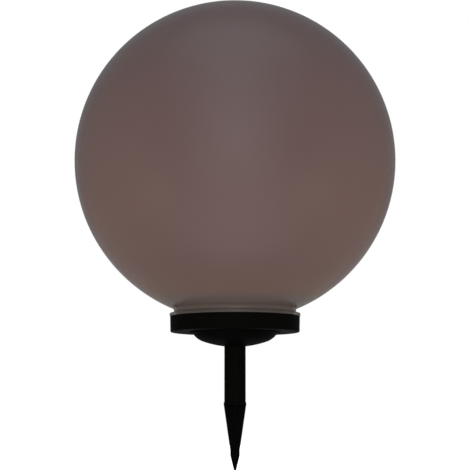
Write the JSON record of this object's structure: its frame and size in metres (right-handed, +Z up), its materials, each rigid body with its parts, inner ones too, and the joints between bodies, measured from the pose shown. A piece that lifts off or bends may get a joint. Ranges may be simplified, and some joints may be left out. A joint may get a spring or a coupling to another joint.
{
  "type": "solar garden globe light",
  "caption": "Smoked translucent globe on a round black base, tubular stem and finned ground spike, with a solar panel and lamps inside.",
  "frame": {"origin": "on the light's axis at the ground line, the underside of the spike's flange", "axes": "+Z up along the axis of spike, stem and globe; -Y towards the viewer of the picture, away from battery door and button; +X to the viewer's right"},
  "size_m": [0.3999, 0.3998, 0.585],
  "materials": {
    "smoked_globe": "smoked grey-brown translucent plastic, satin gloss",
    "black_plastic": "black moulded plastic, satin",
    "stem_plastic": "black extruded plastic, satin",
    "spike_plastic": "black moulded plastic, satin",
    "rubber": "black sealing rubber",
    "button_rubber": "dark grey soft-touch rubber",
    "switch_plastic": "grey switch housing",
    "steel_screw": "zinc-plated steel",
    "nickel_steel": "nickel-plated spring steel",
    "battery_sleeve": "printed green film sleeve, no lettering",
    "circuit_board": "green solder resist",
    "white_board": "white solder resist",
    "component_black": "black component bodies",
    "silicon": "dark blue crystalline cell",
    "clear_resin": "clear resin over the cells",
    "lamp_lens": "clear lamp body",
    "red_lead": "red wire insulation",
    "black_lead": "black wire insulation"
  },
  "bodies": {
    "spike": {"ground_spike": "spike_plastic"},
    "stem": {"stem_tube": "stem_plastic"},
    "base": {"collar_ring": "black_plastic", "lower_cover": "black_plastic", "cover_seal": "rubber", "housing_screws": "steel_screw", "globe_gasket": "rubber", "battery_cell": "battery_sleeve", "battery_plate_contact": "nickel_steel", "battery_spring_contact": "nickel_steel", "button_seal": "rubber", "switch_body": "switch_plastic", "panel_tray": "black_plastic", "solar_panel_board": "circuit_board", "solar_cells": "silicon", "cell_ribbons": "nickel_steel", "panel_resin": "clear_resin", "led_lamps": "lamp_lens", "led_boards": "white_board", "control_board": "circuit_board", "board_components": "component_black", "board_screws": "steel_screw", "panel_lead_red": "red_lead", "panel_lead_black": "black_lead", "battery_lead_red": "red_lead", "battery_lead_black": "black_lead", "switch_leads": "black_lead", "led_leads": "red_lead"},
    "globe": {"globe_shell": "smoked_globe"},
    "button": {"power_button": "button_rubber"},
    "door": {"battery_door": "black_plastic", "door_screws": "steel_screw"}
  },
  "joints": [
    {"name": "stem_pull", "type": "slide", "parent": "spike", "child": "stem", "axis": [0, 0, 1], "range_m": [0, 0.035]},
    {"name": "base_lift", "type": "slide", "parent": "stem", "child": "base", "axis": [0, 0, 1], "range_m": [0, 0.04]},
    {"name": "globe_twist", "type": "hinge", "parent": "base", "child": "globe", "pos_m": [0, 0, 0.1], "axis": [0, 0, 1], "range_deg": [0, 26]},
    {"name": "power_press", "type": "slide", "parent": "base", "child": "button", "axis": [0, 0, 1], "range_m": [0, 0.0015], "stiffness_N_per_m": 1200, "springref_m": -0.001},
    {"name": "door_remove", "type": "slide", "parent": "base", "child": "door", "axis": [0, 0, -1], "range_m": [0, 0.03]}
  ]
}
